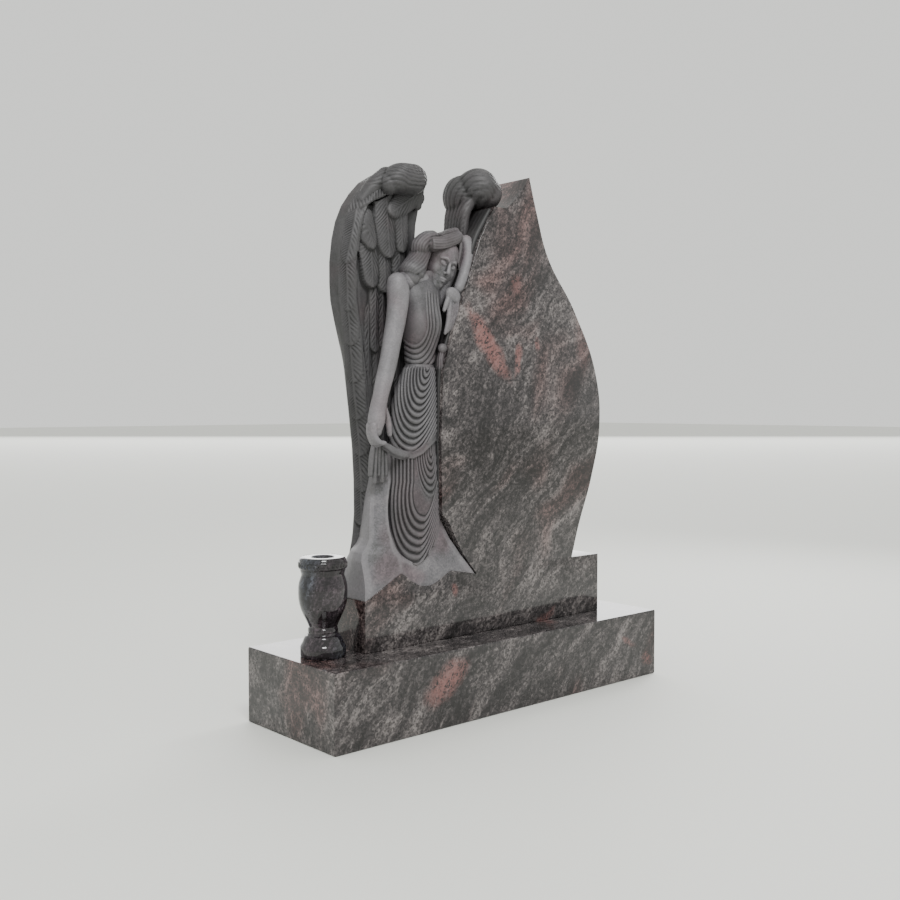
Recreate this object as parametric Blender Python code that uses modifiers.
"""Angel headstone: a granite base slab, a die carved from one stone, and a turned flower vase.

Metres, +Z up, the front faces -Y, and the origin is the middle of the base's underside.
"""

from math import cos, exp, pi, radians, sin

import bmesh
import bpy
import numpy as np
from mathutils import Euler, Matrix, Vector

# Base slab
BASE_WIDTH = 1.228
BASE_DEPTH = 0.395
BASE_HEIGHT = 0.200
BASE_ARRIS = 0.003

# Die: the stone that is cut into a foot block, a leaf-shaped tablet and an angel
DIE_WIDTH = 0.910
DIE_THICKNESS = 0.155
DIE_HEIGHT = 1.298
DIE_SET_BACK = 0.120
DIE_FROM_LEFT = 0.182
BLOCK_HEIGHT = 0.177

# Flower vase
VASE_HEIGHT = 0.254
VASE_RADIUS = 0.063
VASE_BORE_RADIUS = 0.028
VASE_BORE_DEPTH = 0.190
VASE_SIDES = 32

# A hair of air keeps stones that stand on each other apart
JOINT_GAP = 0.0003

# How finely the carving is cut
CARVING_GRAIN = 0.0048
CARVING_FACES = 7600

# Places and sizes on the die, in hundredths of its own width, thickness and height
DIE_LEFT = DIE_FROM_LEFT - BASE_WIDTH / 2
DIE_FRONT = DIE_SET_BACK - BASE_DEPTH / 2
DIE_FOOT = BASE_HEIGHT + JOINT_GAP
SHARE = DIE_HEIGHT / 100
BLOCK_TOP = 100 * BLOCK_HEIGHT / DIE_HEIGHT
CARVED_BACK = 99.4


def at(u, d, v):
    """A point of the die: across from its left side, back from its front face, up from its foot."""
    return Vector((
        DIE_LEFT + DIE_WIDTH * u / 100,
        DIE_FRONT + DIE_THICKNESS * d / 100,
        DIE_FOOT + DIE_HEIGHT * v / 100,
    ))


def between(x, points):
    """The height of a broken line at x, for points (x, y) with rising x."""
    return np.interp(x, [p[0] for p in points], [p[1] for p in points])


def ramp(x, low, high):
    """A smooth step from 0 at low to 1 at high."""
    t = np.clip((np.asarray(x, float) - low) / (high - low), 0.0, 1.0)
    return t * t * (3 - 2 * t)


def clear_scene():
    for old in list(bpy.data.objects):
        bpy.data.objects.remove(old, do_unlink=True)


def new_collection(name):
    group = bpy.data.collections.new(name)
    bpy.context.scene.collection.children.link(group)
    return group


def stone(name, colour, roughness):
    material = bpy.data.materials.new(name)
    material.use_nodes = True
    shader = material.node_tree.nodes["Principled BSDF"]
    shader.inputs["Base Color"].default_value = (*colour, 1)
    shader.inputs["Roughness"].default_value = roughness
    shader.inputs["Metallic"].default_value = 0.0
    return material


def mesh_object(name, mesh, group):
    thing = bpy.data.objects.new(name, mesh)
    group.objects.link(thing)
    return thing


def baked(thing):
    """The mesh of an object with its modifiers applied."""
    graph = bpy.context.evaluated_depsgraph_get()
    return bpy.data.meshes.new_from_object(thing.evaluated_get(graph))


# Solids that the carving is roughed out from. Each adds a closed body to the bmesh.

def ball(bm, centre, radii, turn=(0, 0, 0), sides=20):
    """An ellipsoid; radii in hundredths of the die's height, turn in degrees."""
    spin = Euler([radians(a) for a in turn]).to_matrix().to_4x4()
    size = Matrix.Diagonal([SHARE * r for r in radii] + [1])
    bmesh.ops.create_uvsphere(
        bm, u_segments=sides, v_segments=sides // 2, radius=1, matrix=Matrix.Translation(centre) @ spin @ size
    )


def limb(bm, points, radii):
    """A round tapering limb through the points, with rounded joints."""
    for centre, radius in zip(points, radii):
        ball(bm, centre, (radius, radius, radius), sides=14)
    for a, b, ra, rb in zip(points, points[1:], radii, radii[1:]):
        axis = b - a
        spin = axis.to_track_quat("Z", "Y").to_matrix().to_4x4()
        bmesh.ops.create_cone(
            bm, cap_ends=True, segments=14, radius1=SHARE * ra, radius2=SHARE * rb, depth=axis.length,
            matrix=Matrix.Translation((a + b) / 2) @ spin,
        )


def blade(bm, root, tip, width, thick, lift=0.0):
    """A feather: a long flat rounded body from root to tip, its tip raised forward by lift degrees."""
    axis = tip - root
    length = axis.length
    lean = np.degrees(np.arctan2(axis.x, -axis.z))
    spin = Euler((radians(-lift), 0, 0)).to_matrix().to_4x4()
    turn = Matrix.Rotation(-radians(lean), 4, "Y")
    made = bmesh.ops.create_uvsphere(bm, u_segments=16, v_segments=10, radius=1)
    for vert in made["verts"]:
        x, y, z = vert.co
        fullness = 1 + 0.35 * (1 - z * z)
        vert.co = (x * fullness * width / 2, y * thick / 2, z * length / 2)
    bmesh.ops.transform(
        bm, verts=made["verts"], matrix=Matrix.Translation((root + tip) / 2) @ turn @ spin
    )


def stack(bm, rings, sides=28, hem=0.0):
    """A body lofted through oval rings (v, u, half width, d, half depth), from the foot up.

    The rings are level, but hem lifts the sides of the lowest ones.
    """
    loops = []
    for v, u, wide, d, deep in rings:
        loop = []
        lift = hem * (1 - ramp(v, rings[0][0], rings[0][0] + 6))
        for i in range(sides):
            a = 2 * pi * i / sides
            loop.append(bm.verts.new(at(u + wide * cos(a), d + deep * sin(a), v + lift * cos(a) ** 2)))
        loops.append(loop)
    for low, high in zip(loops, loops[1:]):
        for i in range(sides):
            j = (i + 1) % sides
            bm.faces.new((low[i], low[j], high[j], high[i]))
    bm.faces.new(list(reversed(loops[0])))
    bm.faces.new(loops[-1])


def relief(bm, low, high, left, right, depth, across=24, up=48, tuck=lambda v: 0.0):
    """A solid whose front lies at depth(u, v) between left(v) and right(v).

    Its back is flat, and tuck(v) turns the outer side wall in towards the back.
    """
    made = bmesh.ops.create_grid(bm, x_segments=across, y_segments=up, size=0.5)
    front = made["verts"]
    faces = list({face for vert in front for face in vert.link_faces})
    places = [(vert, vert.co.x + 0.5, vert.co.y + 0.5) for vert in front]
    for vert, s, t in places:
        v = low + (high - low) * t
        u = left(v) + (right(v) - left(v)) * s
        vert.co = at(u, depth(u, v), v)
    behind = bmesh.ops.extrude_face_region(bm, geom=faces, use_keep_orig=True)["geom"]
    plane = at(0, CARVED_BACK, 0).y
    for part in behind:
        if isinstance(part, bmesh.types.BMVert):
            u = 100 * (part.co.x - DIE_LEFT) / DIE_WIDTH
            v = 100 * (part.co.z - DIE_FOOT) / DIE_HEIGHT
            inner = 1 - (u - left(v)) / (right(v) - left(v))
            part.co.x += DIE_WIDTH / 100 * tuck(v) * inner ** 3
            part.co.y = plane


# Outlines of the wings and robe on the die, as broken lines over its height

def wing_outer(v):
    return between(v, [(10.4, 0), (14, 0.9), (18.5, 3.0), (23, 5.4), (27, 6.9), (34, 6.8), (41, 6.2), (48.5, 5.0),
                       (57, 3.5), (64, 2.0), (70.7, 0.4), (74, 0.1), (78.4, 0.1), (83, 0.9), (86.7, 2.2),
                       (90.1, 4.4), (92.8, 7.2), (95.3, 10.6), (97.4, 15.5), (98.6, 21)])


def wing_inner(v):
    return between(v, [(20, 14), (50, 22), (70, 26), (84.5, 26.6), (86, 25.8), (88.2, 25.6), (91.7, 26.6),
                       (94.5, 27.4), (96.5, 27.0), (98.6, 23.5)])


def wing_depth(u, v):
    """The wing's front: a thin rounded outer edge, a raised leading band and a sunk field of feathers."""
    inward = u - wing_outer(v)
    edge = 72 - 26 * ramp(inward, 0, 3.2)
    band = 16 * ramp(inward, 7.5, 10.0)
    return edge + band * (1 - ramp(v, 90.5, 93.5))


def robe_left(v):
    return between(v, [(8, 0), (10.4, 0), (14, 0.8), (18.5, 2.0), (23.3, 4.8), (27.2, 6.4), (32, 8.2), (40, 10.2)])


def robe_right(v):
    return between(v, [(8, 44), (12.7, 42.6), (17.7, 36.8), (21, 33.6), (24.4, 31.5), (30, 30.6), (40, 30.0)])


def robe_depth(u, v):
    """Flush with the block at the hem, the robe sinks back as it rises and turns round its outer corner."""
    rise = np.maximum(v - hem_line(u) - 0.5, 0.0)
    sunk = 1.2 + 46 * (1 - exp(-(rise / 17.0) ** 1.35))
    corner = 14 * (1 - ramp(u - robe_left(v), 0, 3.0)) * ramp(v, 12, 22)
    pleat = 2.2 * sin(0.9 * u + 0.5) * ramp(v, 13, 20)
    return sunk + corner + pleat


def hem_line(u):
    """The wavy lower edge of the robe, where the carving meets the polished block."""
    return between(u, [(0, 10.3), (4, 11.0), (9, 13.3), (13.2, 15.1), (16.5, 13.0), (19.5, 12.0), (22.5, 11.8),
                       (26, 12.4), (32.6, 14.3), (36, 13.8), (42.6, 12.6)])


def right_wing_depth(u, v):
    """The far wing: a broad side face towards the head, and a hollow under its curled top."""
    return 30 + 46 * ramp(u, 46.5, 48.5)


# Rings of the draped figure: height, middle, half width, depth of the middle, half depth

UNDERSKIRT = [(17.0, 22.2, 2.4, 22, 14), (18.6, 22.8, 5.0, 27, 22), (21.5, 24.0, 6.9, 31, 27), (28, 24.4, 7.8, 35, 31),
              (36, 23.8, 7.9, 37, 32), (43, 23.2, 7.0, 38, 30)]
OVERSKIRT = [(38.6, 22.6, 7.5, 36, 33), (42, 22.8, 7.8, 37, 35), (48, 23.4, 7.4, 38, 35), (52.5, 24.0, 6.7, 38, 32),
             (56, 25.0, 5.4, 38, 27), (57.8, 25.4, 4.7, 38, 24)]
TORSO = [(56.5, 25.4, 4.6, 38, 23), (60, 25.7, 5.0, 38, 24), (64, 26.0, 5.4, 37, 26), (69, 26.2, 5.8, 37, 27),
         (73, 26.4, 6.4, 38, 24), (75.4, 27.0, 5.2, 40, 18), (77.5, 29.0, 3.0, 41, 14)]
SWAG_TOP = (25.2, 57.5)
SWAG_COUNT = 10


def carve_left_wing(bm):
    relief(bm, 17, 98.6, wing_outer, wing_inner, wing_depth, across=30, up=70,
           tuck=lambda v: 3.4 * (1 - ramp(v, 45, 72)))
    roll = [(5.2, 52, 84), (6.4, 50, 88), (9.2, 47, 91.6), (13.2, 45, 94.2), (18.0, 43, 95.7), (22.4, 42, 95.6)]
    limb(bm, [at(*p) for p in roll], [2.3, 2.7, 3.1, 3.4, 3.6, 3.6])
    blade(bm, at(24.5, 48, 92.6), at(16.2, 36, 88.2), 0.060, 0.040)
    scales = 6
    for i in range(scales):
        v = 84.5 - 9.6 * i
        u = wing_outer(v) + 4.9
        blade(bm, at(u + 0.8, 50, v + 9.5), at(u - 0.9, 41, v - 4.5), 0.060, 0.022)
    coverts = [((10.2, 52, 92.5), (9.6, 46, 80.6), 0.046), ((16.4, 52, 91.0), (15.2, 45, 79.0), 0.052),
               ((22.3, 52, 89.5), (21.2, 46, 80.6), 0.044), ((10.8, 60, 84), (9.2, 52, 72.6), 0.050),
               ((16.4, 60, 82.5), (15.4, 52, 72.4), 0.048), ((21.4, 62, 82.5), (20.6, 54, 75.4), 0.040)]
    for root, tip, width in coverts:
        blade(bm, at(*root), at(*tip), width, 0.022)
    quills = 5
    for i in range(quills):
        u = 9.5 + 2.6 * i
        blade(bm, at(u, 62, 78), at(u - 1.2, 56, 61 - 4 * i), 0.040, 0.024)
        blade(bm, at(u - 1.0, 64, 66), at(u - 1.0, 58, 36 + 2 * i), 0.036, 0.024)
    blade(bm, at(9.4, 56, 50), at(8.6, 44, 35.0), 0.040, 0.026)


def carve_right_wing(bm):
    relief(bm, 60, 99.0, lambda v: between(v, [(60, 40), (84, 43.2), (93, 43.8), (97, 45.0), (99, 46.6)]),
           lambda v: between(v, [(60, 50), (84, 52), (92, 54), (97, 53.6), (99, 52.4)]), right_wing_depth)
    ball(bm, at(50.0, 52, 96.8), (4.3, 6.0, 4.8), sides=24)
    limb(bm, [at(45.8, 62, 95), at(45.6, 60, 90), at(45.4, 60, 84)], [2.6, 2.1, 1.7])


def carve_body(bm):
    stack(bm, UNDERSKIRT, hem=2.5)
    stack(bm, OVERSKIRT, hem=2.4)
    limb(bm, [at(8.0, 13, 42.2), at(11.5, 15, 41.2), at(16.0, 14, 40.6)], [0.8, 1.1, 1.3])
    stack(bm, TORSO)
    ball(bm, at(22.5, 23, 65.6), (2.7, 2.5, 3.2))
    ball(bm, at(28.6, 24, 66.2), (2.4, 2.3, 3.0))
    ball(bm, at(16.9, 37, 73.7), (2.5, 2.5, 2.5))
    limb(bm, [at(20, 38, 74.8), at(26, 40, 76.0), at(33, 43, 73.6)], [2.0, 2.2, 2.2])
    relief(bm, 8, 40, robe_left, robe_right, robe_depth, across=44, up=34,
           tuck=lambda v: 5.6 * ramp(v, 10.5, 20.0))


def carve_arms(bm):
    hanging = [(16.8, 36, 73.6), (16.4, 32, 70.2), (15.2, 29, 66.6), (13.4, 26, 62.4), (11.8, 23, 58.6),
               (9.8, 20, 54.8), (7.9, 17, 51.4), (6.7, 16, 49.2)]
    limb(bm, [at(*p) for p in hanging], [2.25, 2.2, 2.05, 1.85, 1.75, 1.6, 1.4, 1.25])
    ball(bm, at(5.6, 15, 46.3), (1.45, 1.2, 2.4), turn=(0, 8, 0))
    limb(bm, [at(5.2, 15, 45.4), at(5.4, 13, 43.4), at(6.8, 12, 41.8)], [1.35, 1.05, 0.8])
    limb(bm, [at(7.4, 12, 48.2), at(9.0, 9, 45.8), at(9.6, 8, 43.2)], [0.9, 0.72, 0.62])
    raised = [(32.5, 43, 72.6), (39.5, 46, 79.6), (43.6, 38, 83.8), (42.6, 24, 80.0), (40.2, 17, 76.8),
              (37.0, 12, 74.0)]
    limb(bm, [at(*p) for p in raised], [2.1, 1.9, 1.65, 1.5, 1.25, 1.0])
    ball(bm, at(34.3, 10, 71.6), (1.75, 1.35, 2.0), turn=(0, 30, 0))
    for i in range(4):
        u = 32.0 + 0.95 * i
        limb(bm, [at(u + 0.9, 9, 70.4), at(u + 0.2, 8, 67.4), at(u - 1.0, 9, 64.2 + 0.4 * i)], [0.62, 0.55, 0.42])
    limb(bm, [at(29.8, 12, 61.8), at(29.4, 12, 60.2), at(29.8, 14, 57.4)], [0.95, 0.75, 0.5])


def carve_head(bm):
    tilt = (14, 16, 0)
    ball(bm, at(34.2, 42, 80.9), (3.8, 4.2, 4.8), turn=tilt)
    ball(bm, at(32.6, 26, 78.2), (2.9, 3.2, 4.2), turn=tilt)
    ball(bm, at(30.7, 20, 74.9), (1.4, 1.4, 1.2))
    limb(bm, [at(33.3, 7.5, 79.6), at(32.3, 4.0, 77.8)], [0.42, 0.62])
    limb(bm, [at(29.8, 12, 80.2), at(33.2, 7.5, 80.6), at(36.4, 14, 81.6)], [0.5, 0.6, 0.5])
    limb(bm, [at(30.6, 9, 76.3), at(31.6, 7, 76.3), at(32.7, 8.5, 76.6)], [0.35, 0.5, 0.35])
    limb(bm, [at(28.5, 40, 75.5), at(31.5, 38, 78.5)], [2.2, 2.2])
    ball(bm, at(34.0, 47, 82.6), (4.3, 4.2, 4.5), turn=tilt)
    locks = 9
    for i in range(locks):
        t = i / (locks - 1)
        start = at(37.8 - 1.0 * t, 14 + 34 * t, 84.6 + 1.6 * t)
        crest = at(33.2 - 2.0 * t, 11 + 34 * t, 83.8 + 1.9 * t)
        fall = at(28.6 - 2.6 * t, 18 + 30 * t, 80.6 + 2.6 * t)
        limb(bm, [start, crest, fall], [0.8, 1.0, 0.95])
    limb(bm, [at(37.4, 13, 84.4), at(38.9, 14, 81.8), at(39.2, 18, 79.0)], [0.9, 0.9, 0.7])
    ball(bm, at(25.4, 42, 81.2), (2.3, 2.2, 1.9))
    ball(bm, at(26.4, 30, 80.4), (1.7, 1.7, 1.7))
    for i in range(4):
        t = i / 3
        limb(bm, [at(27.2 - 3.6 * t, 24 + 14 * t, 80.4 - 0.4 * t), at(25.9 - 3.6 * t, 21 + 14 * t, 77.6 - 0.2 * t),
                  at(23.8 - 2.0 * t, 16 + 10 * t, 75.0 + 0.4 * t), at(21.8 - 0.6 * t, 15 + 8 * t, 73.9 + 0.9 * t)],
             [1.2, 1.3, 1.1, 0.7])


def swag_lift(u, v):
    """Height of the hung folds of the overskirt and underskirt, in hundredths of the die's height."""
    lift = np.zeros_like(u)
    down = SWAG_TOP[1] - v
    reach = np.hypot((u - SWAG_TOP[0]) / np.where(u < SWAG_TOP[0], 12.5, 9.0), down / 18.6)
    fold = np.abs(np.sin(pi * SWAG_COUNT * reach))
    over = ramp(v, 40.2, 41.4) * (1 - ramp(v, 56.6, 57.6))
    lift += 0.42 * fold * over
    below = np.maximum(30.0 - v, 0.0) / 12.8
    ring = np.hypot((u - 22.8) / np.where(u < 22.8, 11.0, 8.5), below)
    under = (1 - ramp(v, 38.2, 39.0)) * ramp(v, 17.0, 18.0)
    lift += 0.45 * np.abs(np.sin(pi * 6.5 * ring)) * under
    bodice = np.hypot((u - 22.6) / 9.0, (66.0 - v) / 8.8)
    lift += 0.30 * np.abs(np.sin(pi * 6 * bodice)) * ramp(bodice, 0.42, 0.5) * ramp(v, 57.8, 58.6) * (1 - ramp(v, 69, 72))
    return lift


def barb_lift(u, v):
    """Fine slanting barbs of the wing's leading band."""
    inward = u - wing_outer(v)
    band = ramp(inward, 1.5, 3.0) * (1 - ramp(inward, 8.0, 9.5))
    return 0.16 * np.sin(2 * pi * (v * 1.428 + inward * 0.91) / 3.4) * band


def drape(mesh):
    """Press the folds and barbs into the roughed-out carving, along its own surface."""
    count = len(mesh.vertices)
    place = np.empty(count * 3)
    mesh.vertices.foreach_get("co", place)
    place = place.reshape(-1, 3)
    normal = np.array([tuple(n.vector) for n in mesh.vertex_normals])
    u = 100 * (place[:, 0] - DIE_LEFT) / DIE_WIDTH
    d = 100 * (place[:, 1] - DIE_FRONT) / DIE_THICKNESS
    v = 100 * (place[:, 2] - DIE_FOOT) / DIE_HEIGHT
    facing = ramp(-normal[:, 1], -0.2, 0.5)
    middle = between(v, [(r[0], r[1]) for r in UNDERSKIRT[:-1] + OVERSKIRT[1:-1] + TORSO])
    half = between(v, [(r[0], r[2]) for r in UNDERSKIRT[:-1] + OVERSKIRT[1:-1] + TORSO])
    on_body = (1 - ramp(np.abs(u - middle), half, half + 1.0)) * (1 - ramp(d, 40, 55))
    lift = swag_lift(u, v) * on_body * facing
    lift += barb_lift(u, v) * facing * (1 - on_body) * ramp(d, 30, 36)
    place += normal * (SHARE * lift)[:, None]
    mesh.vertices.foreach_set("co", place.ravel())
    mesh.update()


def die_outline():
    """The polished stone seen from the front: points, and which of them are sharp corners."""
    sharp, round_ = "VECTOR", "AUTO"
    top = BLOCK_TOP
    return [
        (0.0, 0.0, sharp), (100.0, 0.0, sharp), (100.0, top, sharp), (86.7, top, sharp), (90.2, 21.1, round_),
        (96.5, 32.2, round_), (100.6, 44.6, round_), (98.5, 56.6, round_), (87.6, 71.1, round_),
        (74.5, 83.0, round_), (69.5, 92.0, round_), (65.9, 100.0, sharp), (60.4, 95.2, round_),
        (56.0, 92.4, sharp), (50.5, 92.3, sharp), (44.2, 84.7, sharp), (37.2, 71.6, sharp), (32.0, 62.0, sharp),
        (29.5, 56.5, sharp), (28.6, 42.0, sharp), (29.0, 26.5, sharp), (31.6, 24.6, sharp), (36.9, 17.9, sharp),
        (43.0, 12.9, sharp), (32.6, 14.3, sharp), (22.5, 11.8, round_), (13.2, 15.1, sharp), (0.0, 10.3, sharp),
    ]


def slab_from(name, outline, front, back, group, smoothness=4):
    """An upright slab cut to an outline, between two depths of the die."""
    curve = bpy.data.curves.new(name, "CURVE")
    curve.dimensions = "2D"
    curve.fill_mode = "BOTH"
    curve.resolution_u = smoothness
    thick = (back - front) / 100 * DIE_THICKNESS
    curve.extrude = thick / 2
    spline = curve.splines.new("BEZIER")
    spline.use_cyclic_u = True
    spline.bezier_points.add(len(outline) - 1)
    for point, (u, v, kind) in zip(spline.bezier_points, outline):
        spot = at(u, 0, v)
        point.co = (spot.x, spot.z, 0)
        point.handle_left_type = point.handle_right_type = kind
    thing = bpy.data.objects.new(name, curve)
    group.objects.link(thing)
    thing.rotation_euler = (radians(90), 0, 0)
    thing.location.y = (at(0, front, 0).y + at(0, back, 0).y) / 2
    bpy.context.view_layer.update()
    mesh = baked(thing)
    mesh.transform(thing.matrix_world)
    bpy.data.objects.remove(thing, do_unlink=True)
    bm = bmesh.new()
    bm.from_mesh(mesh)
    bmesh.ops.remove_doubles(bm, verts=bm.verts, dist=0.00001)
    bmesh.ops.recalc_face_normals(bm, faces=bm.faces)
    bm.to_mesh(mesh)
    bm.free()
    return mesh_object(name, mesh, group)


def make_base(group, material):
    bpy.ops.mesh.primitive_cube_add(size=1, location=(0, 0, BASE_HEIGHT / 2))
    base = bpy.context.object
    base.name = base.data.name = "base"
    base.scale = (BASE_WIDTH, BASE_DEPTH, BASE_HEIGHT)
    bpy.ops.object.transform_apply(location=False, rotation=False, scale=True)
    arris = base.modifiers.new("arris", "BEVEL")
    arris.width = BASE_ARRIS
    arris.segments = 1
    for old in base.users_collection:
        old.objects.unlink(base)
    group.objects.link(base)
    base.data.materials.append(material)
    return base


def make_headstone(group, cutters, material):
    bm = bmesh.new()
    carve_left_wing(bm)
    carve_right_wing(bm)
    carve_body(bm)
    carve_arms(bm)
    carve_head(bm)
    rough = bpy.data.meshes.new("rough")
    bmesh.ops.recalc_face_normals(bm, faces=bm.faces)
    bm.to_mesh(rough)
    bm.free()
    carving = mesh_object("carving", rough, cutters)
    grain = carving.modifiers.new("grain", "REMESH")
    grain.mode = "VOXEL"
    grain.voxel_size = CARVING_GRAIN
    soften = carving.modifiers.new("soften", "SMOOTH")
    soften.factor = 0.5
    soften.iterations = 2
    fine = baked(carving)
    carving.modifiers.clear()
    carving.data = fine
    drape(fine)
    fewer = carving.modifiers.new("fewer", "DECIMATE")
    fewer.ratio = min(1.0, CARVING_FACES / (2 * len(fine.polygons)))
    few = baked(carving)
    carving.modifiers.clear()
    carving.data = few
    stone_slab = slab_from("headstone", die_outline(), 0, 100, group)
    backing = [(13, 20, "VECTOR"), (50, 20, "VECTOR"), (50, 84, "VECTOR"), (26, 83, "VECTOR"), (12, 60, "VECTOR")]
    plate = slab_from("plate", backing, 66, 99.8, cutters)
    for other in (plate, carving):
        join = stone_slab.modifiers.new("join " + other.name, "BOOLEAN")
        join.operation = "UNION"
        join.solver = "EXACT"
        join.object = other
        other.hide_render = True
        other.display_type = "WIRE"
    stone_slab.data.materials.append(material)
    return stone_slab


def make_vase(group, material):
    """A turned vase: its profile runs down the outside, and the bore is left open at the top."""
    h, r, bore = VASE_HEIGHT, VASE_RADIUS, VASE_BORE_RADIUS
    profile = [
        (0.0, h - VASE_BORE_DEPTH), (bore, h - VASE_BORE_DEPTH), (bore, h), (0.90 * r, h), (0.97 * r, 0.975 * h),
        (1.0 * r, 0.925 * h), (0.95 * r, 0.870 * h), (0.86 * r, 0.835 * h), (0.93 * r, 0.760 * h),
        (0.99 * r, 0.660 * h), (0.92 * r, 0.530 * h), (0.74 * r, 0.390 * h), (0.58 * r, 0.290 * h),
        (0.61 * r, 0.245 * h), (0.72 * r, 0.180 * h), (0.88 * r, 0.130 * h), (0.93 * r, 0.060 * h),
        (0.93 * r, 0.0), (0.0, 0.0),
    ]
    mesh = bpy.data.meshes.new("vase")
    bm = bmesh.new()
    verts = [bm.verts.new((x, 0, z)) for x, z in profile]
    for a, b in zip(verts, verts[1:]):
        bm.edges.new((a, b))
    bm.to_mesh(mesh)
    bm.free()
    vase = mesh_object("vase", mesh, group)
    turn = vase.modifiers.new("turn", "SCREW")
    turn.steps = turn.render_steps = VASE_SIDES
    turn.use_merge_vertices = True
    turn.merge_threshold = 0.00001
    vase.location = (DIE_LEFT - DIE_FROM_LEFT / 2 + 0.003, -0.015, BASE_HEIGHT + JOINT_GAP)
    vase.data.materials.append(material)
    return vase


def main():
    clear_scene()
    group = new_collection("angel headstone")
    cutters = new_collection("cutters")
    polished = stone("polished granite", (0.12, 0.10, 0.10), 0.12)
    carved = stone("carved granite", (0.25, 0.25, 0.26), 0.60)
    make_base(group, polished)
    make_headstone(group, cutters, carved)
    make_vase(group, polished)


main()
